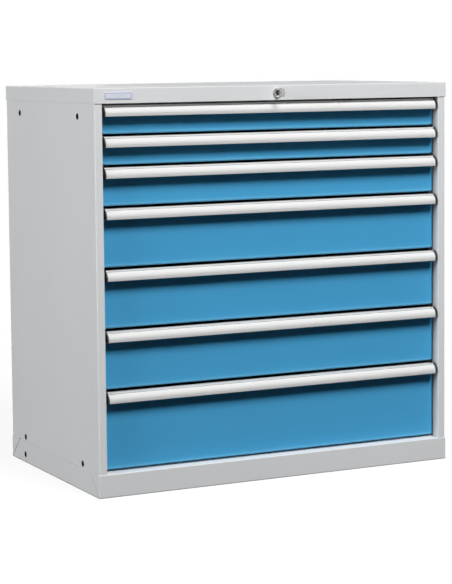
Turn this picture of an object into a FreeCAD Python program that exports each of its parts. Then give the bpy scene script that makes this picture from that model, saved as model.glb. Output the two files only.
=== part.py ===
import FreeCAD
import Part
import math
import os

# Workshop drawer cabinet: a folded steel carcass on a mitred plinth, seven
# drawers on full extension roller rails, and a central lock that lifts a bar
# behind the drawers. Millimetres. X runs to the right, Y from front to back,
# Z up. The origin is on the floor, below the middle of the object as seen from above,
# with the key that stands out in front counted in.

# Overall footprint
width = 1000.0
depth = 600.0

# Heights, from the floor up
plinth_height = 57.5
ledge_gap = 5.7
drawer_heights = [75.0, 75.0, 100.0, 150.0, 150.0, 150.0, 200.0]
fascia_gap = 4.8
fascia_height = 37.6

# Sheet thicknesses
carcass_sheet = 1.5
plinth_sheet = 2.0
back_sheet = 1.2
front_sheet = 1.2
box_sheet = 1.0
rail_sheet = 1.5
catch_sheet = 2.0

# Carcass
seam_gap = 0.4
post_width = 21.5
post_depth = 26.0
post_bend = 3.0
fold_bend = 2.5
cover_bend = 2.0
rear_return = 20.0
fascia_return = 18.0
plinth_ledge = 60.0
plinth_foot = 25.0
plinth_bend = 1.8
floor_rim = 22.0
floor_setback = 34.4
rim_notch_margin = 2.0

# Side joining holes, measured from the front face and from the floor
joining_hole_radius = 6.5
joining_front = 107.0
joining_rear = 502.0
joining_low = 68.0
joining_high = 930.0
plinth_hole_height = 21.0

# Drawer fronts
front_recess = 27.0
front_side_gap = 3.0
front_return = 14.0
front_lower_bend = 5.0

# Handle strip: v is measured down from the top of the drawer's module and u
# forward from the blue face
handle_drop = 5.6
handle_step = 2.4
handle_flange = 2.0
handle_hook = 10.0
handle_arc_radius = 18.0
handle_arc_u = 8.4
handle_arc_v = 25.5
handle_wall = 2.8
handle_brow_angle = 68.8
handle_brow_step = 8.0
handle_ridge = 1.8
handle_lip_v = 31.8
handle_web_v = 30.0
label_top_angle = 64.0
label_low_angle = -2.0
label_channel = 1.3
label_strip = 0.8
label_edge_gap = 2.5
cap_side_gap = 2.0
cap_thickness = 3.0
cap_overlap = 0.6
cap_corner = 3.0

# Drawer boxes
box_floor_rise = 8.0
box_top_drop = 20.0
box_rim = 9.0

# Roller rails
upright_setback = 1.0
upright_width = 40.0
upright_top_clearance = 12.0
rail_rise = 14.0
rail_height = 31.0
rail_front_gap = 3.0
rail_rear_gap = 18.3
mid_rail_thickness = 4.0
mid_rail_shortfall = 20.0
roller_width = 6.5
roller_side_gap = 0.5
roller_running_gap = 0.3
roller_end = 18.0
roller_sides = 16
pad_length = 28.0
rail_tip_gap = 0.5
rail_overlap = 10.0

# Central lock
bezel_radius = 12.5
bezel_height = 3.0
barrel_radius = 9.0
barrel_length = 26.0
barrel_hole_clearance = 0.2
nut_radius = 13.0
nut_thickness = 5.0
plug_radius = 7.0
plug_clearance = 0.06
plug_tail = 4.0
plug_recess = 0.5
keyway_width = 3.2
keyway_height = 10.0
keyway_depth = 26.0
key_clearance = 0.3
key_shank = 9.0
key_bow_length = 25.0
key_bow_height = 20.0
key_bow_corner = 6.0
key_hole_radius = 2.5
key_hole_setback = 13.0
rod_radius = 4.0
rod_clearance = 0.1
crank_thickness = 4.0
crank_width = 11.0
crank_gap = 1.5
crank_radius = 10.0
pin_radius = 2.0
pin_clearance = 0.6
pin_end_gap = 0.8

# Locking bar, its fingers and the catches on the drawers
bar_width = 30.0
bar_thickness = 3.0
bar_back_gap = 1.5
bar_top_margin = 2.0
bar_foot_drop = 8.0
catch_length = 15.0
catch_width = 20.0
catch_rise = 40.0
catch_lip = 12.0
catch_gap = 2.0
finger_width = 16.0
finger_reach = 14.0
finger_lip = 12.0
finger_rest_gap = 1.5
guide_height = 20.0
guide_gap = 0.5
guide_share = 0.6
guided_drawers = [3, 5, 7]
bracket_setback = 16.0
bracket_flange = 14.0
bracket_drop = 12.0

# Allowance by which a cutter passes a face
cut_margin = 1.0

# Back panel screws
screw_head_radius = 4.0
screw_head_height = 1.5
screws_per_side = 5
screw_end_margin = 60.0

# Levels that follow from the heights
stack_bottom = plinth_height + ledge_gap
stack_top = stack_bottom + sum(drawer_heights)
cover_bottom = stack_top - handle_drop + fascia_gap
height = cover_bottom + fascia_height
cover_under = height - carcass_sheet
lock_z = cover_bottom + fascia_height / 2

# Planes that follow from the width
half_width = width / 2
side_face = half_width - carcass_sheet
opening_half = side_face - post_width
front_half = opening_half - front_side_gap
cap_half = front_half - cap_side_gap
handle_half = cap_half - cap_thickness
upright_face = opening_half - upright_setback
rail_depth = rail_sheet + roller_side_gap + roller_width - rail_tip_gap
mid_outer_face = upright_face - rail_depth - rail_tip_gap
mid_inner_face = mid_outer_face - mid_rail_thickness
box_half = mid_inner_face - rail_tip_gap - rail_depth

# Planes that follow from the depth
key_stand = bezel_height - plug_recess + key_shank + key_bow_length
middle_y = key_stand / 2
front_plane = middle_y - depth / 2
rear_plane = middle_y + depth / 2
body_front = front_plane + carcass_sheet
body_rear = rear_plane - carcass_sheet
drawer_face = front_plane + front_recess
box_front = drawer_face + front_sheet
returns_end = drawer_face + front_return
back_face = body_rear - carcass_sheet - back_sheet
bar_rear = back_face - bar_back_gap
bar_front = bar_rear - bar_thickness
catch_tip = bar_front - catch_sheet - catch_gap
box_rear = catch_tip - catch_length
rail_front = returns_end + rail_front_gap
rail_rear = box_rear - rail_rear_gap
rail_length = rail_rear - rail_front
drawer_travel = rail_length - rail_overlap
mid_travel = drawer_travel / 2
mid_rear = rail_rear - mid_rail_shortfall


def vec(x, y, z):
    return FreeCAD.Vector(x, y, z)


def box(low, high):
    return Part.makeBox(high[0] - low[0], high[1] - low[1], high[2] - low[2], vec(*low))


def cylinder_x(radius, x_start, x_end, y, z):
    return Part.makeCylinder(radius, x_end - x_start, vec(x_start, y, z), vec(1, 0, 0))


def cylinder_y(radius, y_start, y_end, x, z):
    return Part.makeCylinder(radius, y_end - y_start, vec(x, y_start, z), vec(0, 1, 0))


def mirrored(shape):
    return shape.mirror(vec(0, 0, 0), vec(1, 0, 0))


def both_sides(shape):
    return [shape, mirrored(shape)]


def fused(shapes):
    return shapes[0].fuse(shapes[1:]).removeSplitter()


def plan(x, y):
    return vec(x, y, 0)


def side_view(y, z):
    return vec(0, y, z)


def front_view(x, z):
    return vec(x, 0, z)


def unit(start, end):
    length = math.hypot(end[0] - start[0], end[1] - start[1])
    return ((end[0] - start[0]) / length, (end[1] - start[1]) / length)


def rounded_chain(points, radii, place):
    """Edges along the points, with an arc of the given radius at each inner corner.
    A radius of 0 leaves the corner square."""
    edges = []
    current = points[0]
    for before, corner, after, radius in zip(points, points[1:], points[2:], radii):
        if radius == 0:
            edges.append(Part.makeLine(place(*current), place(*corner)))
            current = corner
            continue
        arriving = unit(before, corner)
        leaving = unit(corner, after)
        turn = math.acos(arriving[0] * leaving[0] + arriving[1] * leaving[1])
        setback = radius * math.tan(turn / 2)
        start = (corner[0] - arriving[0] * setback, corner[1] - arriving[1] * setback)
        end = (corner[0] + leaving[0] * setback, corner[1] + leaving[1] * setback)
        inward = unit(arriving, leaving)
        bulge = radius / math.cos(turn / 2) - radius
        middle = (corner[0] + inward[0] * bulge, corner[1] + inward[1] * bulge)
        edges.append(Part.makeLine(place(*current), place(*start)))
        edges.append(Part.Arc(place(*start), place(*middle), place(*end)).toShape())
        current = end
    edges.append(Part.makeLine(place(*current), place(*points[-1])))
    return edges


def folded(path, sheet, radii, place, direction):
    """Sheet folded along its outside line; the metal lies to the left of the path."""
    radii = radii or [0] * (len(path) - 2)
    normals = []
    for start, end in zip(path, path[1:]):
        along = unit(start, end)
        normals.append((-along[1], along[0]))
    inner = [(path[0][0] + normals[0][0] * sheet, path[0][1] + normals[0][1] * sheet)]
    for corner, first, second in zip(path[1:], normals, normals[1:]):
        scale = sheet / (1 + first[0] * second[0] + first[1] * second[1])
        inner.append((corner[0] + (first[0] + second[0]) * scale,
                      corner[1] + (first[1] + second[1]) * scale))
    inner.append((path[-1][0] + normals[-1][0] * sheet, path[-1][1] + normals[-1][1] * sheet))
    inner_radii = [max(radius - sheet, 0) for radius in radii]
    edges = rounded_chain(path, radii, place)
    edges.append(Part.makeLine(place(*path[-1]), place(*inner[-1])))
    edges += rounded_chain(inner[::-1], inner_radii[::-1], place)
    edges.append(Part.makeLine(place(*inner[0]), place(*path[0])))
    return Part.Face(Part.Wire(edges)).extrude(direction)


def prism(points, place, direction):
    """Flat plate with straight edges."""
    corners = [place(*point) for point in points]
    return Part.Face(Part.makePolygon(corners + corners[:1])).extrude(direction)


def drawer_levels():
    """Number, lower and upper level of each drawer's module, from the top down."""
    levels = []
    upper = stack_top
    for number, module in enumerate(drawer_heights, start=1):
        levels.append((number, upper - module, upper))
        upper -= module
    return levels


def joining_places():
    return [(front_plane + y, z) for y in (joining_front, joining_rear)
            for z in (joining_low, joining_high)]


# Carcass

def side_panel():
    """Right side: outer sheet, front post with its return, and rear return."""
    path = [(opening_half, body_front + post_depth), (opening_half, body_front),
            (side_face, body_front), (side_face, body_rear),
            (side_face - rear_return, body_rear)]
    bends = [fold_bend, post_bend, 0]
    low = plinth_height + seam_gap
    panel = folded(path, carcass_sheet, bends, plan, vec(0, 0, cover_under - low))
    panel.translate(vec(0, 0, low))
    for y, z in joining_places():
        panel = panel.cut(cylinder_x(joining_hole_radius, side_face - 3 * carcass_sheet,
                                     half_width, y, z))
    return panel


def back_panel():
    """Sheet behind the drawers, held by the rear returns of both sides."""
    half = side_face - carcass_sheet - seam_gap
    low = plinth_height + seam_gap
    return box((-half, back_face, low), (half, back_face + back_sheet, cover_under - seam_gap))


def top_cover():
    """Lid with four skirts that slips over the carcass, and a return under the fascia."""
    outer = box((-half_width, front_plane, cover_bottom), (half_width, rear_plane, height))
    rim = [edge for edge in outer.Edges if edge.BoundBox.ZMin > height - cover_bend]
    outer = outer.makeFillet(cover_bend, rim)
    hollow = box((-side_face, body_front, cover_bottom - cut_margin),
                 (side_face, body_rear, cover_under))
    return_half = opening_half - seam_gap
    under_return = box((-return_half, front_plane + carcass_sheet, cover_bottom),
                       (return_half, front_plane + fascia_return, cover_bottom + carcass_sheet))
    lid = fused([outer.cut(hollow), under_return])
    hole_radius = barrel_radius + barrel_hole_clearance
    return lid.cut(cylinder_y(hole_radius, front_plane - cut_margin, body_front + cut_margin,
                              0, lock_z))


def bottom_panel():
    """Floor pan on the plinth's ledges. The rim up each side is notched at the bolt holes."""
    half = side_face - carcass_sheet
    rim_top = plinth_height + floor_rim
    path = [(-half, rim_top), (-half, plinth_height), (half, plinth_height), (half, rim_top)]
    start_y = body_front + floor_setback
    pan = folded(path, carcass_sheet, None, front_view, vec(0, back_face - start_y, 0))
    pan.translate(vec(0, start_y, 0))
    reach = joining_hole_radius + rim_notch_margin
    for y, z in joining_places():
        if z < rim_top:
            pan = pan.cut(box((-half_width, y - reach, z - reach),
                              (half_width, y + reach, rim_top + cut_margin)))
    return pan


def plinth_front():
    """Front skirt that wraps round both corners and ends there in a mitre."""
    outside = [(front_plane, 0), (front_plane, plinth_height),
               (front_plane + plinth_height, plinth_height),
               (front_plane + plinth_sheet, plinth_sheet), (front_plane + plinth_sheet, 0)]
    wrapped = prism(outside, side_view, vec(width, 0, 0))
    wrapped.translate(vec(-half_width, 0, 0))
    inner_half = half_width - plinth_sheet
    inner_y = front_plane + plinth_sheet
    face = box((-half_width, front_plane, 0), (half_width, inner_y, plinth_height))
    returns = wrapped.cut(box((-inner_half, front_plane - cut_margin, -cut_margin),
                              (inner_half, rear_plane, plinth_height + cut_margin)))
    ledge = box((-inner_half, front_plane, plinth_height - plinth_sheet),
                (inner_half, front_plane + plinth_ledge, plinth_height))
    foot = box((-inner_half, front_plane, 0), (inner_half, front_plane + plinth_foot, plinth_sheet))
    skirt = fused([face] + returns.Solids + [ledge, foot])
    edges = [edge for edge in skirt.Edges if is_plinth_corner(edge)]
    return skirt.makeFillet(plinth_bend, edges)


def is_plinth_corner(edge):
    """The long upper front edge and the two upright corners of the front skirt."""
    box_of_edge = edge.BoundBox
    on_front = abs(box_of_edge.YMin - front_plane) < 0.01 and box_of_edge.YLength < 0.01
    upper = box_of_edge.ZLength < 0.01 and abs(box_of_edge.ZMin - plinth_height) < 0.01
    corner = abs(box_of_edge.Center.x) > half_width - 0.01 and box_of_edge.ZLength > plinth_sheet
    return on_front and (upper or corner)


def plinth_side():
    """Right skirt, cut to 45 degrees at both ends to meet the wrapped corners."""
    offset = seam_gap * math.sqrt(2)
    foot_start = plinth_sheet + offset
    slope = plinth_height + offset
    outline = [(front_plane + foot_start, 0), (front_plane + foot_start, plinth_sheet),
               (front_plane + slope, plinth_height), (rear_plane - slope, plinth_height),
               (rear_plane - foot_start, plinth_sheet), (rear_plane - foot_start, 0)]
    skirt = prism(outline, side_view, vec(plinth_sheet, 0, 0))
    skirt.translate(vec(half_width - plinth_sheet, 0, 0))
    ledge_end = plinth_ledge + seam_gap
    ledge = box((half_width - plinth_ledge, front_plane + ledge_end, plinth_height - plinth_sheet),
                (half_width, rear_plane - ledge_end, plinth_height))
    foot_end = plinth_foot + seam_gap
    foot = box((half_width - plinth_foot, front_plane + foot_end, 0),
               (half_width, rear_plane - foot_end, plinth_sheet))
    hole = cylinder_x(joining_hole_radius, half_width - 2 * plinth_sheet,
                      half_width + cut_margin,
                      front_plane + joining_rear, plinth_hole_height)
    return fused([skirt, ledge, foot]).cut(hole)


def upright(front_edge):
    """Slotted channel inside a side panel; the rails hang on it."""
    foot = side_face - carcass_sheet
    path = [(foot, front_edge + upright_width), (upright_face, front_edge + upright_width),
            (upright_face, front_edge), (foot, front_edge)]
    low = plinth_height + floor_rim + seam_gap
    high = cover_bottom - upright_top_clearance
    channel = folded(path, rail_sheet, None, plan, vec(0, 0, high - low))
    channel.translate(vec(0, 0, low))
    return channel


def uprights():
    right = [upright(rail_front), upright(rail_rear - upright_width)]
    return [piece for channel in right for piece in both_sides(channel)]


# Rails

def rail_channel(web_x, tip_x, low):
    """Channel whose web is at web_x and whose flanges reach to tip_x, on the right side."""
    sign = 1 if tip_x > web_x else -1
    high = low + rail_height
    path = [(tip_x, high), (web_x, high), (web_x, low), (tip_x, low)]
    if sign < 0:
        path = path[::-1]
    channel = folded(path, rail_sheet, None, front_view, vec(0, rail_length, 0))
    channel.translate(vec(0, rail_front, 0))
    return channel


def cabinet_rails():
    rails = []
    for number, lower, upper in drawer_levels():
        right = rail_channel(upright_face, upright_face - rail_depth, lower + rail_rise)
        rails += both_sides(right)
    return rails


def drawer_rails(lower):
    return both_sides(rail_channel(box_half, box_half + rail_depth, lower + rail_rise))


def roller(inner_x, outer_x, middle_z, y):
    """Disc with many flat sides, as there are four rollers to each drawer."""
    radius = rail_height / 2 - rail_sheet - roller_running_gap
    turns = [2 * math.pi * (step + 0.5) / roller_sides for step in range(roller_sides)]
    rim = [(y + radius * math.cos(turn), middle_z + radius * math.sin(turn)) for turn in turns]
    disc = prism(rim, side_view, vec(outer_x - inner_x, 0, 0))
    disc.translate(vec(inner_x, 0, 0))
    return disc


def glide_pad(inner_x, outer_x, middle_z, y):
    half_height = rail_height / 2 - rail_sheet - roller_running_gap
    return box((inner_x, y - pad_length / 2, middle_z - half_height),
               (outer_x, y + pad_length / 2, middle_z + half_height))


def mid_rails(lower):
    """Bar between the two channels. A roller at its rear end and a pad run in the
    cabinet's channel; a roller at its front end and a pad carry the drawer's channel."""
    low = lower + rail_rise
    middle_z = low + rail_height / 2
    bar = box((mid_inner_face, rail_front, low + rail_sheet),
              (mid_outer_face, mid_rear, low + rail_height - rail_sheet))
    outer_side = (mid_outer_face, mid_outer_face + roller_width, middle_z)
    inner_side = (mid_inner_face - roller_width, mid_inner_face, middle_z)
    drawer_rail_rear_open = rail_rear - drawer_travel
    solids = [bar,
              roller(*outer_side, mid_rear - roller_end),
              glide_pad(*outer_side, rail_front + roller_end + mid_travel),
              roller(*inner_side, rail_front + roller_end),
              glide_pad(*inner_side, drawer_rail_rear_open - roller_end + mid_travel)]
    return [piece for solid in solids for piece in both_sides(solid)]


# Drawers

def drawer_box(lower, upper):
    """Sheet tray with a rim turned inward round its top, and the catch behind it."""
    floor = lower + box_floor_rise
    top = upper - box_top_drop
    outside = box((-box_half, box_front, floor), (box_half, box_rear, top))
    inside = box((-box_half + box_sheet, box_front + box_sheet, floor + box_sheet),
                 (box_half - box_sheet, box_rear - box_sheet, top - box_sheet))
    mouth = box((-box_half + box_rim, box_front + box_rim, floor + box_sheet),
                (box_half - box_rim, box_rear - box_rim, top + cut_margin))
    return [outside.cut(inside).cut(mouth), drawer_catch(lower)]


def drawer_catch(lower):
    """Hook welded to the rear wall; its lip hangs behind the finger of the lock bar."""
    top = lower + catch_rise + catch_sheet
    path = [(catch_tip, top - catch_lip), (catch_tip, top), (box_rear, top)]
    hook = folded(path, catch_sheet, None, side_view, vec(catch_width, 0, 0))
    hook.translate(vec(-catch_width / 2, 0, 0))
    return hook


def drawer_front(lower, upper):
    """Blue front: a face folded back on all four sides."""
    top = upper - handle_drop - handle_step - handle_flange
    path = [(returns_end, top), (drawer_face, top), (drawer_face, lower), (returns_end, lower)]
    bends = [0, front_lower_bend]
    face = folded(path, front_sheet, bends, side_view, vec(2 * front_half, 0, 0))
    face.translate(vec(-front_half, 0, 0))
    end_edges = rounded_chain(path, bends, side_view)
    end_edges.append(Part.makeLine(side_view(*path[-1]), side_view(*path[0])))
    end = Part.Face(Part.Wire(end_edges)).extrude(vec(front_sheet, 0, 0))
    left_end = end.copy()
    left_end.translate(vec(-front_half, 0, 0))
    right_end = end.copy()
    right_end.translate(vec(front_half - front_sheet, 0, 0))
    return fused([face, left_end, right_end])


def handle_point(upper, u, v):
    return vec(0, drawer_face - u, upper - v)


def on_handle_arc(upper, radius, degrees):
    """Point on a circle about the handle's centre; 0 degrees faces forward, 90 up."""
    angle = math.radians(degrees)
    u = handle_arc_u + radius * math.cos(angle)
    v = handle_arc_v - radius * math.sin(angle)
    return handle_point(upper, u, v)


def handle_arc(upper, radius, first, last):
    points = [on_handle_arc(upper, radius, degrees)
              for degrees in (first, (first + last) / 2, last)]
    return Part.Arc(*points).toShape()


def brow_point(upper, radius, v):
    """Point straight above the end of a circle at the handle's brow, the top of its ridge."""
    u = handle_arc_u + radius * math.cos(math.radians(handle_brow_angle))
    return handle_point(upper, u, v)


def lip_angle(radius):
    """Angle at which a circle of this radius reaches the handle's lower edge."""
    return -math.degrees(math.asin((handle_lip_v - handle_arc_v) / radius))


def outline_edges(upper, items):
    """Joins points with lines and passes ready edges through, in order."""
    edges = []
    last = None
    for item in items:
        if isinstance(item, Part.Edge):
            if last is not None and last.distanceToPoint(item.Vertexes[0].Point) > 1e-6:
                edges.append(Part.makeLine(last, item.Vertexes[0].Point))
            edges.append(item)
            last = item.Vertexes[-1].Point
        else:
            if last is not None:
                edges.append(Part.makeLine(last, item))
            last = item
    return edges


def handle_extrusion(upper):
    """Grip strip: a flange hooked over the front, a ridge along its front, a curved face
    with a channel for a label strip, and a web on the blue face. Fingers reach in from
    below."""
    outer = handle_arc_radius
    channel = outer - label_channel
    inner = outer - handle_wall
    inner_brow = handle_brow_angle + handle_brow_step
    inner_brow_v = handle_arc_v - inner * math.sin(math.radians(inner_brow))
    flange_v = handle_drop + handle_step
    flange_end_v = flange_v + handle_flange
    brow = brow_point(upper, outer, handle_drop)
    ridge_u = drawer_face - brow.y - handle_ridge
    items = [handle_point(upper, -handle_hook, flange_v),
             handle_point(upper, ridge_u, flange_v),
             handle_point(upper, ridge_u, handle_drop),
             brow,
             handle_arc(upper, outer, handle_brow_angle, label_top_angle),
             handle_arc(upper, channel, label_top_angle, label_low_angle),
             handle_arc(upper, outer, label_low_angle, lip_angle(outer)),
             handle_arc(upper, inner, lip_angle(inner), inner_brow),
             handle_point(upper, handle_flange, inner_brow_v),
             handle_point(upper, handle_flange, handle_web_v),
             handle_point(upper, 0, handle_web_v),
             handle_point(upper, 0, flange_end_v),
             handle_point(upper, -handle_hook, flange_end_v)]
    edges = outline_edges(upper, items)
    edges.append(Part.makeLine(items[-1], items[0]))
    strip = Part.Face(Part.Wire(edges)).extrude(vec(2 * handle_half, 0, 0))
    strip.translate(vec(-handle_half, 0, 0))
    return strip


def label_insert(upper):
    """Thin strip snapped into the handle's channel."""
    floor = handle_arc_radius - label_channel
    face = floor + label_strip
    first = label_top_angle - label_edge_gap
    last = label_low_angle + label_edge_gap
    outer_arc = handle_arc(upper, face, first, last)
    inner_arc = handle_arc(upper, floor, last, first)
    edges = outline_edges(upper, [outer_arc, inner_arc])
    edges.append(Part.makeLine(inner_arc.Vertexes[-1].Point, outer_arc.Vertexes[0].Point))
    strip = Part.Face(Part.Wire(edges)).extrude(vec(2 * handle_half, 0, 0))
    strip.translate(vec(-handle_half, 0, 0))
    return strip


def handle_cap(upper):
    """Right end cap: closes the strip's end and the finger grip."""
    radius = handle_arc_radius + cap_overlap
    top_v = handle_drop - cap_overlap
    bottom_v = handle_lip_v + cap_overlap
    low_angle = -math.degrees(math.asin((bottom_v - handle_arc_v) / radius))
    items = [handle_point(upper, 0, top_v),
             brow_point(upper, radius, top_v),
             handle_arc(upper, radius, handle_brow_angle, low_angle),
             handle_point(upper, 0, bottom_v)]
    edges = outline_edges(upper, items)
    edges.append(Part.makeLine(items[-1], items[0]))
    plate = Part.Face(Part.Wire(edges)).extrude(vec(cap_thickness, 0, 0))
    plate.translate(vec(handle_half, 0, 0))
    lip = on_handle_arc(upper, radius, low_angle)
    corner = [edge for edge in plate.Edges
              if all(abs(vertex.Y - lip.y) < 0.01 and abs(vertex.Z - lip.z) < 0.01
                     for vertex in edge.Vertexes)]
    return plate.makeFillet(cap_corner, corner)


# Lock

def lock_housing():
    """Bezel and barrel, turned about the lock's axis, with the nut behind the fascia."""
    bore = plug_radius + plug_clearance
    bezel_front = front_plane - bezel_height
    barrel_end = body_front + barrel_length
    profile = [(bore, bezel_front), (bezel_radius, bezel_front), (bezel_radius, front_plane),
               (barrel_radius, front_plane), (barrel_radius, barrel_end), (bore, barrel_end)]
    turned = Part.Face(Part.makePolygon([vec(x, y, 0) for x, y in profile + profile[:1]]))
    housing = turned.revolve(vec(0, 0, 0), vec(0, 1, 0), 360)
    housing.translate(vec(0, 0, lock_z))
    nut = hexagon(nut_radius, nut_thickness)
    nut.translate(vec(0, body_front, lock_z))
    hollow = cylinder_y(barrel_radius - plug_clearance, body_front - cut_margin,
                        body_front + nut_thickness + cut_margin, 0, lock_z)
    return fused([housing, nut.cut(hollow)])


def hexagon(radius, thickness):
    corners = [(radius * math.cos(math.radians(60 * step)),
                radius * math.sin(math.radians(60 * step))) for step in range(6)]
    return prism(corners, front_view, vec(0, thickness, 0))


def plug_front():
    return front_plane - bezel_height + plug_recess


def plug_rear():
    return body_front + barrel_length + plug_tail


def lock_plug():
    plug = cylinder_y(plug_radius, plug_front(), plug_rear(), 0, lock_z)
    half_w = keyway_width / 2
    half_h = keyway_height / 2
    keyway = box((-half_w, plug_front() - cut_margin, lock_z - half_h),
                 (half_w, plug_front() + keyway_depth, lock_z + half_h))
    return plug.cut(keyway)


def key():
    """Blade in the keyway, narrow shank and a rounded bow with a ring hole."""
    half_w = keyway_width / 2 - key_clearance
    half_h = keyway_height / 2 - key_clearance
    start = plug_front() + keyway_depth - key_clearance
    neck = plug_front() - key_shank
    bow_end = neck - key_bow_length
    blade = box((-half_w, neck, lock_z - half_h), (half_w, start, lock_z + half_h))
    half_bow = key_bow_height / 2
    bow = box((-half_w, bow_end, lock_z - half_bow), (half_w, neck, lock_z + half_bow))
    corners = [edge for edge in bow.Edges if edge.BoundBox.XLength > half_w]
    bow = bow.makeFillet(key_bow_corner, corners)
    hole = cylinder_x(key_hole_radius, -half_w - cut_margin, half_w + cut_margin,
                      bow_end + key_hole_setback, lock_z)
    return fused([blade, bow]).cut(hole)


def crank_front():
    return bar_front - crank_gap - crank_thickness


def lock_rod():
    """Rod from the plug to the back, with the crank and its pin."""
    rod = cylinder_y(rod_radius, plug_rear(), crank_front(), 0, lock_z)
    half = crank_width / 2
    arm = box((-crank_radius, crank_front(), lock_z - half),
              (0, crank_front() + crank_thickness, lock_z + half))
    hub = cylinder_y(half, crank_front(), crank_front() + crank_thickness, 0, lock_z)
    tip = cylinder_y(half, crank_front(), crank_front() + crank_thickness, -crank_radius, lock_z)
    pin = cylinder_y(pin_radius, crank_front() + crank_thickness, back_face - pin_end_gap,
                     -crank_radius, lock_z)
    return fused([rod, arm, hub, tip, pin])


def pin_path(share):
    """Place of the crank's pin in the bar, as the key turns from 0 to 90 degrees.
    The bar rises in step with the key, so the slot takes up the rest."""
    angle = share * math.pi / 2
    return (-crank_radius * math.cos(angle), crank_radius * (math.sin(angle) - share))


def cam_slot():
    """Curved slot about the pin's path, with rounded ends."""
    first = pin_path(0)
    middle = pin_path(0.55)
    last = pin_path(1)
    half = pin_radius + pin_clearance
    depth_of_cut = bar_thickness + 2 * cut_margin
    path = Part.Arc(vec(first[0], 0, first[1]), vec(middle[0], 0, middle[1]),
                    vec(last[0], 0, last[1])).toShape()
    center = path.Curve.Center
    radius = path.Curve.Radius
    outward = [(vec(point[0], 0, point[1]) - center).normalize() for point in (first, middle, last)]
    outer = [center + direction * (radius + half) for direction in outward]
    inner = [center + direction * (radius - half) for direction in outward]
    band = Part.Wire([Part.Arc(*outer).toShape(), Part.makeLine(outer[2], inner[2]),
                      Part.Arc(*inner[::-1]).toShape(), Part.makeLine(inner[0], outer[0])])
    solids = [Part.Face(band).extrude(vec(0, depth_of_cut, 0))]
    for x, z in (first, last):
        solids.append(cylinder_y(half, 0, depth_of_cut, x, z))
    slot = fused(solids)
    slot.translate(vec(0, bar_front - cut_margin, lock_z))
    return slot


def finger_floor(lower):
    """Underside of a finger's lip slot, one gap below the drawer's catch."""
    catch_lip_bottom = lower + catch_rise + catch_sheet - catch_lip
    return catch_lip_bottom - finger_rest_gap - finger_lip


def finger(lower):
    """Hook on the bar's front face that rises in front of the catch when locked."""
    tip = bar_front - finger_reach
    floor = finger_floor(lower)
    path = [(tip, floor + finger_lip), (tip, floor), (bar_front, floor)]
    hook = folded(path, catch_sheet, None, side_view, vec(finger_width, 0, 0))
    hook.translate(vec(-finger_width / 2, 0, 0))
    return hook


def lock_bar():
    """Upright bar behind the drawers, with a slot for the crank's pin and a finger
    for each drawer."""
    levels = drawer_levels()
    foot = finger_floor(levels[-1][1]) - bar_foot_drop
    slot_top = max(pin_path(step / 10)[1] for step in range(11)) + pin_radius + pin_clearance
    head = lock_z + slot_top + bar_top_margin
    half = bar_width / 2
    bar = box((-half, bar_front, foot), (half, bar_rear, head)).cut(cam_slot())
    return [bar] + [finger(lower) for number, lower, upper in levels]


def bar_guide(level):
    """Clip on the back panel that the bar slides behind."""
    half = bar_width / 2 + guide_gap + rail_sheet
    front = bar_front - guide_gap - rail_sheet
    path = [(-half, back_face), (-half, front), (half, front), (half, back_face)]
    clip = folded(path, rail_sheet, None, plan, vec(0, 0, guide_height))
    clip.translate(vec(0, 0, level - guide_height / 2))
    return clip


def rod_bracket():
    """Angle under the cover that carries the rear end of the rod."""
    half = bar_width / 2
    rear = crank_front() - bracket_setback
    path = [(rear - bracket_flange, cover_under), (rear, cover_under),
            (rear, lock_z - bracket_drop)]
    angle = folded(path[::-1], rail_sheet, None, side_view, vec(bar_width, 0, 0))
    angle.translate(vec(-half, 0, 0))
    hole = cylinder_y(rod_radius + rod_clearance, rear - bracket_flange, rear + cut_margin,
                      0, lock_z)
    return angle.cut(hole)


def lock_guides():
    guides = [bar_guide(lower + (upper - lower) * guide_share)
              for number, lower, upper in drawer_levels() if number in guided_drawers]
    return guides + [rod_bracket()]


def back_screws():
    """Hexagon heads that hold the rear returns to the back panel."""
    x = side_face - rear_return / 2
    low = plinth_height + screw_end_margin
    high = cover_bottom - screw_end_margin
    step = (high - low) / (screws_per_side - 1)
    heads = []
    for index in range(screws_per_side):
        head = hexagon(screw_head_radius, screw_head_height)
        head.translate(vec(x, body_rear, low + index * step))
        heads += both_sides(head)
    return heads


def write(name, solids):
    pieces = solids if isinstance(solids, list) else [solids]
    shape = pieces[0] if len(pieces) == 1 else Part.makeCompound(pieces)
    shape.exportStep(os.path.join("parts", name + ".step"))


def write_carcass():
    write("side_panel_right", side_panel())
    write("side_panel_left", mirrored(side_panel()))
    write("back_panel", back_panel())
    write("top_cover", top_cover())
    write("bottom_panel", bottom_panel())
    front = plinth_front()
    write("plinth_front", front)
    write("plinth_rear", front.mirror(vec(0, middle_y, 0), vec(0, 1, 0)))
    write("plinth_right", plinth_side())
    write("plinth_left", mirrored(plinth_side()))
    write("runner_uprights", uprights())
    write("cabinet_rails", cabinet_rails())
    write("back_panel_screws", back_screws())


def write_drawers():
    for number, lower, upper in drawer_levels():
        name = "drawer_%d_" % number
        write(name + "box", drawer_box(lower, upper))
        write(name + "front", drawer_front(lower, upper))
        write(name + "handle", [handle_extrusion(upper), label_insert(upper)])
        write(name + "handle_caps", both_sides(handle_cap(upper)))
        write(name + "rails", drawer_rails(lower))
        write(name + "mid_rails", mid_rails(lower))


def write_lock():
    write("lock_housing", lock_housing())
    write("lock_plug", lock_plug())
    write("key", key())
    write("lock_rod", lock_rod())
    write("lock_bar", lock_bar())
    write("lock_guides", lock_guides())


os.makedirs("parts", exist_ok=True)
write_carcass()
write_drawers()
write_lock()
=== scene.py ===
"""Looks of the workshop drawer cabinet: coats, metals, small trim, light and camera."""
import math

import bmesh
import bpy
from mathutils import Matrix, Vector


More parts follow.
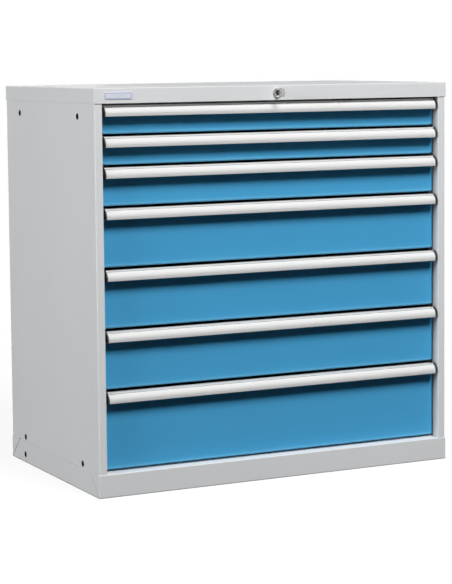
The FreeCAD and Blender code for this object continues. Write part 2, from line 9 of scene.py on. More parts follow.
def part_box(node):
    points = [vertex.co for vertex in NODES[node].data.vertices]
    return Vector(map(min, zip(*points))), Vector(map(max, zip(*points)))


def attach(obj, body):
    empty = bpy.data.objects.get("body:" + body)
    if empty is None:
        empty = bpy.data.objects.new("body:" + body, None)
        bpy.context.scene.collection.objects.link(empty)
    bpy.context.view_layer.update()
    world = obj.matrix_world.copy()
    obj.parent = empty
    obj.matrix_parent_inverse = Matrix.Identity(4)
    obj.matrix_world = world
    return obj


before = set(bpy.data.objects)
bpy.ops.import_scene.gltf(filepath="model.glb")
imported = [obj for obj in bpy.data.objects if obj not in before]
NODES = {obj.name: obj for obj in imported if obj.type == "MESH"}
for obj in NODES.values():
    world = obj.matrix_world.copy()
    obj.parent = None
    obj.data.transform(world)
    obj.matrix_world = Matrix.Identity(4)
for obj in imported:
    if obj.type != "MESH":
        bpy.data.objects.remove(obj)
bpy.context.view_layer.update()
DRAWERS = sorted(int(name.split("_")[1]) for name in NODES if name.endswith("_front")
                 and name.startswith("drawer_"))

# Camera, in the model's frame. The photo is cut from a larger picture that was taken
# with the lens shifted, so a small part of that shift is kept.
CAMERA_PLACE = Vector((-2.342, -4.659, 1.079))
CAMERA_YAW = 26.62
CAMERA_PITCH = 5.10
CAMERA_ROLL = -0.54
CAMERA_FOCUS_PX = 1974.0
CAMERA_SHIFT_Y = -0.106
PHOTO_LONG_SIDE = 584
SENSOR_MM = 36.0

# The middle range of a noise texture
NOISE_LOW = 0.3
NOISE_HIGH = 0.7

# Colours as linear values
GREY_COAT = (0.664, 0.674, 0.683)
GREY_INSIDE = (0.56, 0.58, 0.59)
BLUE_COAT = (0.060, 0.325, 0.586)
# Painted reflection: a paler blue band near the bottom of each front, standing in for light
# reflected from below
BLUE_PAINTED_REFLECTION = (0.125, 0.440, 0.690)
REFLECTION_FULL = 0.0035
REFLECTION_END = 0.0095
ALUMINIUM = (0.64, 0.645, 0.65)
LABEL_WHITE = (0.655, 0.655, 0.650)
CAP_BLACK = (0.010, 0.010, 0.011)
ZINC = (0.62, 0.63, 0.64)
CHROME = (0.60, 0.60, 0.61)
PLUG_METAL = (0.075, 0.075, 0.078)
KEY_METAL = (0.62, 0.615, 0.60)
# Painted shade along the edges of the lock's chrome and of the key, and in the key's hole
EDGE_PAINTED_SHADE = (0.10, 0.10, 0.10)
EDGE_STARTS = 0.995
EDGE_FULL = 0.93
BUSH_BLACK = (0.009, 0.009, 0.010)
PLATE_WHITE = (0.62, 0.65, 0.72)
PLATE_BLUE = (0.16, 0.24, 0.52)
# Painted shade: the lid's top is given a darker grey, as the lamps light it more brightly than the
# front
LID_TOP_PAINTED_SHADE = (0.475, 0.482, 0.489)
LID_SKIN = 0.0004

# Handle section, as in the CAD: centre of its curve measured from the node's box
HANDLE_HOOK = 0.010
HANDLE_ARC_Y = 0.0084
HANDLE_ARC_Z = 0.0199
LABEL_RADIUS_LOW = 0.01675
LABEL_RADIUS_HIGH = 0.0178
LABEL_SINE_LOW = 0.004
LABEL_SINE_HIGH = 0.8805
CHANNEL_RADIUS_LOW = 0.0165
CHANNEL_RADIUS_HIGH = 0.0181
CHANNEL_SINE_HIGH = 0.8998
CHANNEL_SHADE = (0.12, 0.12, 0.12)

# Lamps: distance, azimuth to the left of the front, elevation, size, power, and the place
# that the lamp is aimed at
KEY_LAMP = (7.0, -9.0, 48.0, 2.4, 590.0, (2.4, 0.0, -0.5))
SIDE_LAMP = (6.0, 80.0, 15.0, 1.6, 237.0, (0.0, 0.0, 0.5))
RIGHT_LAMP = (6.0, -97.0, 7.0, 2.4, 110.0, (0.0, 0.0, 0.5))
REAR_LAMP = (6.0, -172.0, 7.0, 2.4, 110.0, (0.0, 0.0, 0.5))
SKY_LOW = 0.008
SKY_HIGH = 0.03
FLOOR_BOUNCE = 0.02
FLOOR_SEEN = 0.90
FLOOR_WHITE = 0.90
FLOOR_FADE_START = 0.9
FLOOR_FADE_END = 2.2
PATCH_MARGIN = 0.0015
PATCH_LEVEL = 0.0003

# Bare plate on the fascia
PLATE_LEFT = 0.0277
PLATE_WIDTH = 0.0731
PLATE_BOTTOM = 0.972
PLATE_HEIGHT = 0.018
PLATE_THICKNESS = 0.0014
PLATE_FRAME_INSET = 0.0024
PLATE_FRAME_LINE = 0.0011
PLATE_CORNER = 0.0015

# Painted shade on the posts' returns and in the plinth's open mitres and at its foot, the
# bead of paint under the side panels, and the bushes in the side holes, which are given as
# distance from the front face and height
RETURN_PAINTED_SHADE = (0.27, 0.255, 0.24)
RETURN_SHADE_START = 0.010
RETURN_SHADE_END = 0.028
POST_WIDTH = 0.0215
RETURN_SHEET = 0.002
SEAM_PAINTED_SHADE = (0.045, 0.045, 0.046)
SEAM_MIDDLE = 0.0003
SEAM_FRONT = 0.0005
SEAM_REAR = 0.0014
SEAM_REACH = 0.0025
FOOT_LINE = 0.0020
FOOT_SHADE_AMOUNT = 0.6
BEAD_HEIGHT = 0.0004
BEAD_DEPTH = 0.0012
BEAD_INSET = 0.00015
HOLE_RADIUS = 0.0065
BUSH_FLANGE = 0.0080
BUSH_BORE = 0.0058
BUSH_PROUD = 0.0006
BUSH_DEPTH = 0.0060
BUSH_CLEARANCE = 0.0001
BUSH_STEPS = 32
SIDE_HOLES = ((0.107, 0.068), (0.502, 0.068), (0.107, 0.930), (0.502, 0.930), (0.502, 0.021))


def new_material(name):
    """An empty node material with its output and a Principled shader."""
    material = bpy.data.materials.new(name)
    material.use_nodes = True
    tree = material.node_tree
    tree.nodes.clear()
    shader = tree.nodes.new("ShaderNodeBsdfPrincipled")
    output = tree.nodes.new("ShaderNodeOutputMaterial")
    tree.links.new(shader.outputs["BSDF"], output.inputs["Surface"])
    return material, tree, shader


def coordinates(tree):
    """Object coordinates, which move with the piece."""
    return tree.nodes.new("ShaderNodeTexCoord").outputs["Object"]


def noise(tree, scale, detail=2.0, stretch=None):
    texture = tree.nodes.new("ShaderNodeTexNoise")
    texture.inputs["Scale"].default_value = scale
    texture.inputs["Detail"].default_value = detail
    source = coordinates(tree)
    if stretch:
        mapping = tree.nodes.new("ShaderNodeMapping")
        mapping.inputs["Scale"].default_value = stretch
        tree.links.new(source, mapping.inputs["Vector"])
        source = mapping.outputs["Vector"]
    tree.links.new(source, texture.inputs["Vector"])
    return texture.outputs["Fac"]


def math_node(tree, operation, *values):
    node = tree.nodes.new("ShaderNodeMath")
    node.operation = operation
    for socket, value in zip(node.inputs, values):
        if isinstance(value, (int, float)):
            socket.default_value = value
        else:
            tree.links.new(value, socket)
    return node.outputs[0]


def tinted(tree, colour, factor, low, high):
    """The colour, a little darker or lighter where the factor is."""
    mix = tree.nodes.new("ShaderNodeMix")
    mix.data_type = "RGBA"
    tree.links.new(factor, mix.inputs["Factor"])
    mix.inputs["A"].default_value = [value * low for value in colour] + [1.0]
    mix.inputs["B"].default_value = [min(value * high, 1.0) for value in colour] + [1.0]
    return mix.outputs["Result"]


def place(tree):
    """The X, Y and Z outputs of the object coordinates."""
    parts = tree.nodes.new("ShaderNodeSeparateXYZ")
    tree.links.new(coordinates(tree), parts.inputs["Vector"])
    return parts.outputs


def ramp(tree, value, start, end, low=0.0, high=1.0):
    """Goes from low at the start to high at the end, and stays there beyond them."""
    node = tree.nodes.new("ShaderNodeMapRange")
    node.inputs["From Min"].default_value = start
    node.inputs["From Max"].default_value = end
    node.inputs["To Min"].default_value = low
    node.inputs["To Max"].default_value = high
    tree.links.new(value, node.inputs["Value"])
    return node.outputs["Result"]


def spread(tree, factor, low, high):
    """Maps a noise's middle range onto low..high."""
    return ramp(tree, factor, NOISE_LOW, NOISE_HIGH, low, high)


def painted(tree, coat, mask, colour):
    """The coat, with another colour where the mask is."""
    mix = tree.nodes.new("ShaderNodeMix")
    mix.data_type = "RGBA"
    tree.links.new(mask, mix.inputs["Factor"])
    tree.links.new(coat, mix.inputs["A"])
    mix.inputs["B"].default_value = (*colour, 1.0)
    return mix.outputs["Result"]


def add_bump(tree, shader, height, strength, distance, edge_radius=0.0):
    bump = tree.nodes.new("ShaderNodeBump")
    bump.inputs["Strength"].default_value = strength
    bump.inputs["Distance"].default_value = distance
    tree.links.new(height, bump.inputs["Height"])
    if edge_radius:
        rounded = tree.nodes.new("ShaderNodeBevel")
        rounded.samples = 6
        rounded.inputs["Radius"].default_value = edge_radius
        tree.links.new(rounded.outputs["Normal"], bump.inputs["Normal"])
    tree.links.new(bump.outputs["Normal"], shader.inputs["Normal"])


def seam_and_foot_painted_shade(tree, front, rear, half):
    """Painted shade: 1 in the open mitres of the plinth's sides, which go up at 45 degrees
    from its front and rear corners, and less in the painted contact shadow at its foot, else 0."""
    here = place(tree)
    lines = []
    for corner, sign, width in ((front, 1.0, SEAM_FRONT), (rear, -1.0, SEAM_REAR)):
        along = math_node(tree, "MULTIPLY", math_node(tree, "SUBTRACT", here["Y"], corner), sign)
        offset = math_node(tree, "SUBTRACT", along, here["Z"])
        middle = math_node(tree, "SUBTRACT", offset, SEAM_MIDDLE)
        lines.append(math_node(tree, "LESS_THAN", math_node(tree, "ABSOLUTE", middle), width))
    on_side = math_node(tree, "GREATER_THAN", math_node(tree, "ABSOLUTE", here["X"]),
                        half - SEAM_REACH)
    mitres = math_node(tree, "MULTIPLY", math_node(tree, "MAXIMUM", *lines), on_side)
    # Painted contact shadow along the plinth's foot
    foot = math_node(tree, "LESS_THAN", here["Z"], FOOT_LINE)
    return math_node(tree, "MAXIMUM", mitres, math_node(tree, "MULTIPLY", foot, FOOT_SHADE_AMOUNT))


def return_painted_shade(tree, front, half):
    """Painted shade: 0 outside the posts' returns, rising to 1 at their rear, beside the fronts'
    gap.
    """
    here = place(tree)
    rise = ramp(tree, here["Y"], front + RETURN_SHADE_START, front + RETURN_SHADE_END)
    on_return = math_node(tree, "LESS_THAN", math_node(tree, "ABSOLUTE", here["X"]),
                          half - POST_WIDTH + RETURN_SHEET)
    return math_node(tree, "MULTIPLY", rise, on_return)


def powder_coat(name, colour, gloss, specular, edge_radius=0.0009, reflection_level=None,
                seams=None, posts=None, top_shade_level=None):
    """Fine orange peel, a faint cloudiness and slightly uneven gloss. Above the reflection
    level, if one is given, a painted reflection: the colour goes from a paler blue back to
    plain. Seams, if given, are the front and rear of a mitred plinth and its half width, and
    bring painted shade to its open mitres and its foot. Posts, if given, are the front and
    half width of panels whose front posts turn inwards, and bring painted shade to their
    returns. Above the top shade level, if one is given, the coat is painted darker: painted
    shade on the lid's top, as the lamps light it more brightly than the front."""
    material, tree, shader = new_material(name)
    cloud = spread(tree, noise(tree, 4.0, 4.0), 0.0, 1.0)
    coat = tinted(tree, colour, cloud, 0.982, 1.012)
    if top_shade_level is not None:
        # Painted shade on the lid's top face
        on_top = math_node(tree, "GREATER_THAN", place(tree)["Z"], top_shade_level)
        coat = painted(tree, coat, on_top, LID_TOP_PAINTED_SHADE)
    if posts is not None:
        # Painted shade on the posts' returns, darkest at their rear beside the fronts' gap
        coat = painted(tree, coat, return_painted_shade(tree, *posts), RETURN_PAINTED_SHADE)
    if seams is not None:
        # Painted shade in the plinth's open mitres and a painted contact shadow at its foot
        coat = painted(tree, coat, seam_and_foot_painted_shade(tree, *seams), SEAM_PAINTED_SHADE)
    # Painted reflection: paler blue near the bottom of each front, fading to plain higher up
    if reflection_level is not None:
        reflection_band = ramp(tree, place(tree)["Z"], reflection_level + REFLECTION_FULL,
                     reflection_level + REFLECTION_END, 1.0, 0.0)
        coat = painted(tree, coat, reflection_band, BLUE_PAINTED_REFLECTION)
    tree.links.new(coat, shader.inputs["Base Color"])
    tree.links.new(spread(tree, noise(tree, 60.0, 3.0), gloss - 0.04, gloss + 0.05),
                   shader.inputs["Roughness"])
    shader.inputs["Specular IOR Level"].default_value = specular
    add_bump(tree, shader, noise(tree, 750.0, 3.0), 0.18, 0.0004, edge_radius)
    return material


def rolled_metal(name, colour, roughness, metallic, grain):
    """Metal with fine lines along its length."""
    material, tree, shader = new_material(name)
    lines = noise(tree, 1.0, 3.0, grain)
    tree.links.new(tinted(tree, colour, spread(tree, lines, 0.0, 1.0), 0.95, 1.02),
                   shader.inputs["Base Color"])
    tree.links.new(spread(tree, lines, roughness - 0.04, roughness + 0.06),
                   shader.inputs["Roughness"])
    shader.inputs["Metallic"].default_value = metallic
    add_bump(tree, shader, lines, 0.10, 0.0002)
    return material


def zinc_plate(name, colour):
    """Zinc plating: soft patches of brightness and gloss."""
    material, tree, shader = new_material(name)
    patches = spread(tree, noise(tree, 35.0, 4.0), 0.0, 1.0)
    tree.links.new(tinted(tree, colour, patches, 0.90, 1.05), shader.inputs["Base Color"])
    tree.links.new(spread(tree, noise(tree, 90.0, 2.0), 0.30, 0.42), shader.inputs["Roughness"])
    shader.inputs["Metallic"].default_value = 1.0
    add_bump(tree, shader, noise(tree, 500.0, 2.0), 0.08, 0.0002, 0.0005)
    return material


def moulded_plastic(name, colour, roughness):
    """Matt plastic with a fine spark-eroded grain."""
    material, tree, shader = new_material(name)
    cloud = spread(tree, noise(tree, 30.0, 2.0), 0.0, 1.0)
    tree.links.new(tinted(tree, colour, cloud, 0.90, 1.10), shader.inputs["Base Color"])
    tree.links.new(spread(tree, noise(tree, 300.0, 2.0), roughness - 0.05, roughness + 0.05),
                   shader.inputs["Roughness"])
    shader.inputs["Specular IOR Level"].default_value = 0.35
    add_bump(tree, shader, noise(tree, 1600.0, 2.0), 0.15, 0.0002, 0.0006)
    return material


def handle_material(name, arc_y, arc_z):
    """Satin aluminium, and white plastic where the label strip lies in its channel."""
    material = rolled_metal(name, ALUMINIUM, 0.50, 0.25, (6.0, 900.0, 900.0))
    tree = material.node_tree
    output = next(node for node in tree.nodes if node.type == "OUTPUT_MATERIAL")
    metal = next(node for node in tree.nodes if node.type == "BSDF_PRINCIPLED")

    strip = tree.nodes.new("ShaderNodeBsdfPrincipled")
    cloud = spread(tree, noise(tree, 12.0, 2.0), 0.0, 1.0)
    tree.links.new(tinted(tree, LABEL_WHITE, cloud, 0.985, 1.0), strip.inputs["Base Color"])
    strip.inputs["Roughness"].default_value = 0.50
    strip.inputs["Specular IOR Level"].default_value = 0.12

    here = place(tree)
    y = math_node(tree, "SUBTRACT", here["Y"], arc_y)
    z = math_node(tree, "SUBTRACT", here["Z"], arc_z)
    square = math_node(tree, "ADD", math_node(tree, "MULTIPLY", y, y),
                       math_node(tree, "MULTIPLY", z, z))
    radius = math_node(tree, "SQRT", square)
    sine = math_node(tree, "DIVIDE", z, radius)
    in_ring = math_node(tree, "MULTIPLY",
                        math_node(tree, "GREATER_THAN", radius, LABEL_RADIUS_LOW),
                        math_node(tree, "LESS_THAN", radius, LABEL_RADIUS_HIGH))
    in_angle = math_node(tree, "MULTIPLY",
                         math_node(tree, "GREATER_THAN", sine, LABEL_SINE_LOW),
                         math_node(tree, "LESS_THAN", sine, LABEL_SINE_HIGH))
    in_front = math_node(tree, "LESS_THAN", y, 0.0)
    mask = math_node(tree, "MULTIPLY", math_node(tree, "MULTIPLY", in_ring, in_angle), in_front)

    # Painted shade: a dark line where the channel shows above the label strip
    in_channel = math_node(tree, "MULTIPLY",
                           math_node(tree, "GREATER_THAN", radius, CHANNEL_RADIUS_LOW),
                           math_node(tree, "LESS_THAN", radius, CHANNEL_RADIUS_HIGH))
    in_gap = math_node(tree, "MULTIPLY",
                       math_node(tree, "GREATER_THAN", sine, LABEL_SINE_HIGH),
                       math_node(tree, "LESS_THAN", sine, CHANNEL_SINE_HIGH))
    gap = math_node(tree, "MULTIPLY", math_node(tree, "MULTIPLY", in_channel, in_gap), in_front)
    plain = metal.inputs["Base Color"].links[0].from_socket
    tree.links.new(painted(tree, plain, gap, CHANNEL_SHADE), metal.inputs["Base Color"])

    mix = tree.nodes.new("ShaderNodeMixShader")
    tree.links.new(mask, mix.inputs["Fac"])
    tree.links.new(metal.outputs["BSDF"], mix.inputs[1])
    tree.links.new(strip.outputs["BSDF"], mix.inputs[2])
    tree.links.new(mix.outputs["Shader"], output.inputs["Surface"])
    return material


def near_edges(tree, reach):
    """1 at sharp edges, 0 from about the reach away on flat faces."""
    rounded = tree.nodes.new("ShaderNodeBevel")
    rounded.samples = 8
    rounded.inputs["Radius"].default_value = reach
    across = tree.nodes.new("ShaderNodeVectorMath")
    across.operation = "DOT_PRODUCT"
    tree.links.new(rounded.outputs["Normal"], across.inputs[0])
    tree.links.new(tree.nodes.new("ShaderNodeNewGeometry").outputs["Normal"], across.inputs[1])
    return ramp(tree, across.outputs["Value"], EDGE_STARTS, EDGE_FULL)


def polished(name, colour, roughness, edge_radius=0.0003, shaded_edges=0.0):
    """Bright metal with faint swirls, and with painted shade darkening its edges if given a width.
    """
    material, tree, shader = new_material(name)
    swirl = noise(tree, 220.0, 3.0)
    metal = tinted(tree, colour, spread(tree, swirl, 0.0, 1.0), 0.94, 1.02)
    if shaded_edges:
        # Painted shade along the edges
        metal = painted(tree, metal, near_edges(tree, shaded_edges), EDGE_PAINTED_SHADE)
    tree.links.new(metal, shader.inputs["Base Color"])
    tree.links.new(spread(tree, swirl, roughness, roughness + 0.08), shader.inputs["Roughness"])
    shader.inputs["Metallic"].default_value = 1.0
    add_bump(tree, shader, swirl, 0.05, 0.0001, edge_radius)
    return material


def dress(node_name, material):
    """Gives a CAD node its material."""
    node = NODES[node_name]
    node.data.materials.clear()
    node.data.materials.append(material)


def dress_nodes():
    grey = powder_coat("grey_powder_coat", GREY_COAT, 0.55, 0.12)
    inside = powder_coat("grey_coat_inside", GREY_INSIDE, 0.50, 0.30)
    black = moulded_plastic("black_moulded_plastic", CAP_BLACK, 0.45)
    zinc = zinc_plate("zinc_plate", ZINC)
    chrome = polished("lock_chrome", CHROME, 0.14, 0.0012, 0.0013)
    plug_metal = polished("plug_metal", PLUG_METAL, 0.25)
    key_metal = polished("key_nickel", KEY_METAL, 0.22, 0.0003, 0.0017)
    low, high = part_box("plinth_front")
    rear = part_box("plinth_rear")[1]
    plinth = powder_coat("grey_coat_plinth", GREY_COAT, 0.55, 0.12,
                         seams=(low.y, rear.y, high.x))

    for name in ("back_panel", "bottom_panel"):
        dress(name, grey)
    dress("top_cover", powder_coat("grey_coat_lid", GREY_COAT, 0.55, 0.12,
                                   top_shade_level=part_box("top_cover")[1].z - LID_SKIN))
    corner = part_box("side_panel_right")
    panel = powder_coat("grey_coat_side", GREY_COAT, 0.55, 0.12,
                        posts=(corner[0].y, corner[1].x))
    dress("side_panel_left", panel)
    dress("side_panel_right", panel)
    for name in ("plinth_front", "plinth_rear", "plinth_left", "plinth_right"):
        dress(name, plinth)
    for name in ("runner_uprights", "cabinet_rails", "back_panel_screws", "lock_rod",
                 "lock_bar", "lock_guides"):
        dress(name, zinc)
    dress("lock_housing", chrome)
    dress("lock_plug", plug_metal)
    dress("key", key_metal)

    for number in DRAWERS:
        prefix = "drawer_%d_" % number
        low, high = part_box(prefix + "handle")
        arc_y = high.y - HANDLE_HOOK - HANDLE_ARC_Y
        arc_z = high.z - HANDLE_ARC_Z
        dress(prefix + "box", inside)
        # The front's bottom is the level of its painted reflection band
        dress(prefix + "front", powder_coat(prefix + "front_coat", BLUE_COAT, 0.55, 0.08, 0.002,
                                            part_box(prefix + "front")[0].z))
        dress(prefix + "handle", handle_material(prefix + "handle_metal", arc_y, arc_z))
        dress(prefix + "handle_caps", black)
        dress(prefix + "rails", zinc)
        dress(prefix + "mid_rails", zinc)


def mesh_piece(name, build, material, body):
    """A new piece from bmesh code, riding on a CAD body."""
    shape = bmesh.new()
    build(shape)
    bmesh.ops.recalc_face_normals(shape, faces=shape.faces)
    mesh = bpy.data.meshes.new(name)
    shape.to_mesh(mesh)
    shape.free()
    mesh.materials.append(material)
    piece = bpy.data.objects.new(name, mesh)
    bpy.context.scene.collection.objects.link(piece)
    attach(piece, body)
    return piece


def rounded_rectangle(left, bottom, width, height, corner, steps):
    """Points round a rectangle with rounded corners, as (x, z)."""
    centres = [(left + width - corner, bottom + height - corner, 0),
               (left + corner, bottom + height - corner, 90),
               (left + corner, bottom + corner, 180),
               (left + width - corner, bottom + corner, 270)]
    points = []
    for x, z, start in centres:
        for step in range(steps + 1):
            angle = math.radians(start + 90.0 * step / steps)
            points.append((x + corner * math.cos(angle), z + corner * math.sin(angle)))
    return points


def bare_plate():
    """A blank plate on the fascia, with an eased rim and a plain blue line round it."""
    low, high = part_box("top_cover")
    left = low.x + PLATE_LEFT

    def build(shape):
        rings = []
        for inset, forward in ((0.0, 0.0), (0.0, PLATE_THICKNESS * 0.6),
                               (PLATE_THICKNESS * 0.5, PLATE_THICKNESS)):
            outline = rounded_rectangle(left + inset, PLATE_BOTTOM + inset,
                                        PLATE_WIDTH - 2 * inset, PLATE_HEIGHT - 2 * inset,
                                        PLATE_CORNER, 5)
            rings.append([shape.verts.new((x, low.y - forward, z)) for x, z in outline])
        for lower, upper in zip(rings, rings[1:]):
            count = len(lower)
            for index in range(count):
                following = (index + 1) % count
                shape.faces.new((lower[index], lower[following], upper[following],
                                 upper[index]))
        shape.faces.new(rings[0][::-1])
        shape.faces.new(rings[-1])

    material, tree, shader = new_material("plate_print")
    cloud = spread(tree, noise(tree, 40.0, 2.0), 0.0, 1.0)
    here = place(tree)
    reach = []
    for axis, middle, half in (("X", left + PLATE_WIDTH / 2, PLATE_WIDTH / 2),
                               ("Z", PLATE_BOTTOM + PLATE_HEIGHT / 2, PLATE_HEIGHT / 2)):
        away = math_node(tree, "ABSOLUTE",
                         math_node(tree, "SUBTRACT", here[axis], middle))
        reach.append(math_node(tree, "SUBTRACT", away, half - PLATE_FRAME_INSET))
    from_frame = math_node(tree, "ABSOLUTE", math_node(tree, "MAXIMUM", *reach))
    on_frame = math_node(tree, "LESS_THAN", from_frame, PLATE_FRAME_LINE / 2)
    tree.links.new(painted(tree, tinted(tree, PLATE_WHITE, cloud, 0.97, 1.01), on_frame,
                           PLATE_BLUE), shader.inputs["Base Color"])
    shader.inputs["Roughness"].default_value = 0.35
    mesh_piece("blank_plate", build, material, "cabinet")


def side_bushes():
    """Black plastic bushes in the joining holes: a flange outside and a sleeve inside."""
    black = moulded_plastic("black_bush_plastic", BUSH_BLACK, 0.55)
    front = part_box("plinth_front")[0].y
    profile = [(BUSH_BORE, BUSH_DEPTH), (BUSH_BORE, -BUSH_PROUD * 0.7),
               (BUSH_BORE + BUSH_PROUD * 0.5, -BUSH_PROUD),
               (BUSH_FLANGE - BUSH_PROUD, -BUSH_PROUD), (BUSH_FLANGE, -BUSH_PROUD * 0.4),
               (BUSH_FLANGE, 0.0), (HOLE_RADIUS - BUSH_CLEARANCE, 0.0),
               (HOLE_RADIUS - BUSH_CLEARANCE, BUSH_DEPTH)]
    for side, panel in ((-1.0, "left"), (1.0, "right")):
        for number, (along, up) in enumerate(SIDE_HOLES, 1):
            node = "plinth_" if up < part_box("plinth_front")[1].z else "side_panel_"
            low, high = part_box(node + panel)
            outside = low.x if side < 0 else high.x

            def build(shape):
                rings = []
                for radius, depth in profile:
                    ring = []
                    for step in range(BUSH_STEPS):
                        angle = 2.0 * math.pi * step / BUSH_STEPS
                        ring.append(shape.verts.new((outside - side * depth,
                                                     front + along + radius * math.cos(angle),
                                                     up + radius * math.sin(angle))))
                    rings.append(ring)
                for lower, upper in zip(rings, rings[1:] + rings[:1]):
                    for step in range(BUSH_STEPS):
                        following = (step + 1) % BUSH_STEPS
                        shape.faces.new((lower[step], lower[following], upper[following],
                                         upper[step]))

            mesh_piece("side_bush_%s_%d" % (panel, number), build, black, "cabinet")


def seam_beads():
    """Paint that bridges the seam between each side panel and the plinth, just inside."""
    bead = powder_coat("grey_coat_bead", GREY_COAT, 0.60, 0.05)
    for panel in ("left", "right"):
        low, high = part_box("side_panel_" + panel)
        bottom = low.z - BEAD_HEIGHT
        if panel == "left":
            ends = (low.x + BEAD_INSET, low.x + BEAD_INSET + BEAD_DEPTH)
        else:
            ends = (high.x - BEAD_INSET - BEAD_DEPTH, high.x - BEAD_INSET)

        def build(shape):
            bmesh.ops.create_cube(shape, size=1.0)
            for vertex in shape.verts:
                part = vertex.co + Vector((0.5, 0.5, 0.5))
                vertex.co = Vector((ends[0] + part.x * (ends[1] - ends[0]),
                                    low.y + BEAD_DEPTH + part.y * (high.y - low.y
                                                                   - 2.0 * BEAD_DEPTH),
                                    bottom + part.z * BEAD_HEIGHT))

        mesh_piece("seam_bead_" + panel, build, bead, "cabinet")


def seen_directly(tree):
    """1 for what the camera, gloss and glass see, 0 for light that scatters."""
    path = tree.nodes.new("ShaderNodeLightPath")
    seen = math_node(tree, "MAXIMUM", path.outputs["Is Camera Ray"], path.outputs["Is Glossy Ray"])
    return math_node(tree, "MAXIMUM", seen, path.outputs["Is Transmission Ray"])


def mix_shaders(tree, factor, first, second):
    mix = tree.nodes.new("ShaderNodeMixShader")
    if isinstance(factor, float):
        mix.inputs["Fac"].default_value = factor
    else:
        tree.links.new(factor, mix.inputs["Fac"])
    tree.links.new(first, mix.inputs[1])
    tree.links.new(second, mix.inputs[2])
    return mix.outputs["Shader"]


def diffuse(tree, value):
    node = tree.nodes.new("ShaderNodeBsdfDiffuse")
    node.inputs["Color"].default_value = (value, value, value, 1.0)
    return node.outputs["BSDF"]


def add_world():
    """Soft sky, brighter overhead."""
    world = bpy.data.worlds.new("studio")
    world.use_nodes = True
    bpy.context.scene.world = world
    tree = world.node_tree
    tree.nodes.clear()
    output = tree.nodes.new("ShaderNodeOutputWorld")
    sky = tree.nodes.new("ShaderNodeBackground")
    direction = tree.nodes.new("ShaderNodeSeparateXYZ")
    tree.links.new(tree.nodes.new("ShaderNodeTexCoord").outputs["Generated"],
                   direction.inputs["Vector"])
    shade = tree.nodes.new("ShaderNodeValToRGB")
    shade.color_ramp.elements[0].position = 0.0
    shade.color_ramp.elements[0].color = (SKY_LOW, SKY_LOW, SKY_LOW, 1.0)
    shade.color_ramp.elements[1].position = 1.0
    shade.color_ramp.elements[1].color = (SKY_HIGH, SKY_HIGH, SKY_HIGH, 1.0)
    tree.links.new(direction.outputs["Z"], shade.inputs["Fac"])
    tree.links.new(shade.outputs["Color"], sky.inputs["Color"])
    sky.inputs["Strength"].default_value = 1.0
    white = tree.nodes.new("ShaderNodeBackground")
    white.inputs["Color"].default_value = (1.0, 1.0, 1.0, 1.0)
    tree.links.new(mix_shaders(tree, seen_directly(tree), sky.outputs["Background"],
                               white.outputs["Background"]), output.inputs["Surface"])


def floor_plane(name, low, high, level):
    mesh = bpy.data.meshes.new(name)
    corners = [(low[0], low[1], level), (high[0], low[1], level), (high[0], high[1], level),
               (low[0], high[1], level)]
    mesh.from_pydata(corners, [], [(0, 1, 2, 3)])
    plane = bpy.data.objects.new(name, mesh)
    bpy.context.scene.collection.objects.link(plane)
    material = bpy.data.materials.new(name)
    material.use_nodes = True
    material.node_tree.nodes.clear()
    mesh.materials.append(material)
    tree = material.node_tree
    return tree, tree.nodes.new("ShaderNodeOutputMaterial").inputs["Surface"]


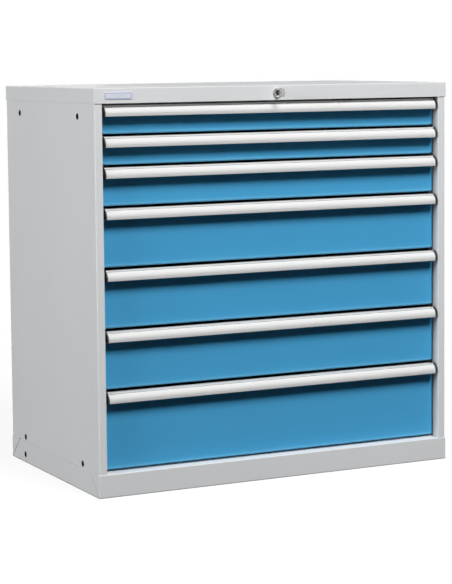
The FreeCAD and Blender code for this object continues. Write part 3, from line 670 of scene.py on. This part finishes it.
def add_floor():
    """Pale floor with the object's faint shadow, and the dark patch inside the plinth."""
    tree, surface = floor_plane("floor", (-15.0, -15.0), (15.0, 15.0), 0.0)
    white = tree.nodes.new("ShaderNodeEmission")
    away = tree.nodes.new("ShaderNodeVectorMath")
    away.operation = "LENGTH"
    tree.links.new(coordinates(tree), away.inputs[0])
    fade = ramp(tree, away.outputs["Value"], FLOOR_FADE_START, FLOOR_FADE_END, FLOOR_WHITE)
    shown = mix_shaders(tree, fade, diffuse(tree, FLOOR_SEEN), white.outputs["Emission"])
    tree.links.new(mix_shaders(tree, seen_directly(tree), diffuse(tree, FLOOR_BOUNCE), shown),
                   surface)
    low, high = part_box("plinth_front")
    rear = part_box("plinth_rear")[1].y
    tree, surface = floor_plane("floor_inside_plinth",
                                (low.x + PATCH_MARGIN, low.y + PATCH_MARGIN),
                                (high.x - PATCH_MARGIN, rear - PATCH_MARGIN), PATCH_LEVEL)
    tree.links.new(diffuse(tree, FLOOR_BOUNCE), surface)


def add_lamp(name, distance, azimuth, elevation, size, power, aim):
    """Square area lamp at a distance from the middle of the object."""
    light = bpy.data.lights.new(name, "AREA")
    light.shape = "SQUARE"
    light.size = size
    light.energy = power
    lamp = bpy.data.objects.new(name, light)
    bpy.context.scene.collection.objects.link(lamp)
    turn = math.radians(azimuth)
    rise = math.radians(elevation)
    toward = Vector((-math.sin(turn) * math.cos(rise), -math.cos(turn) * math.cos(rise),
                     math.sin(rise)))
    lamp.location = Vector((0.0, 0.0, 0.5)) + toward * distance
    lamp.rotation_euler = (Vector(aim) - lamp.location).to_track_quat("-Z", "Y").to_euler()


def add_camera():
    yaw, pitch, roll = (math.radians(angle) for angle in (CAMERA_YAW, CAMERA_PITCH, CAMERA_ROLL))
    forward = Vector((math.sin(yaw) * math.cos(pitch), math.cos(yaw) * math.cos(pitch),
                      -math.sin(pitch)))
    level = Vector((math.cos(yaw), -math.sin(yaw), 0.0))
    upward = level.cross(forward)
    right = level * math.cos(roll) + upward * math.sin(roll)
    above = upward * math.cos(roll) - level * math.sin(roll)
    data = bpy.data.cameras.new("photo_camera")
    data.sensor_width = SENSOR_MM
    data.lens = SENSOR_MM * CAMERA_FOCUS_PX / PHOTO_LONG_SIDE
    data.shift_y = CAMERA_SHIFT_Y
    camera = bpy.data.objects.new("photo_camera", data)
    turn = Matrix((right, above, -forward)).transposed().to_4x4()
    camera.matrix_world = Matrix.Translation(CAMERA_PLACE) @ turn
    bpy.context.scene.collection.objects.link(camera)
    bpy.context.scene.camera = camera


dress_nodes()
bare_plate()
side_bushes()
seam_beads()
add_world()
add_floor()
add_lamp("key_lamp", *KEY_LAMP)
add_lamp("side_lamp", *SIDE_LAMP)
add_lamp("right_lamp", *RIGHT_LAMP)
add_lamp("rear_lamp", *REAR_LAMP)
add_camera()
bpy.context.scene.view_settings.view_transform = "Standard"
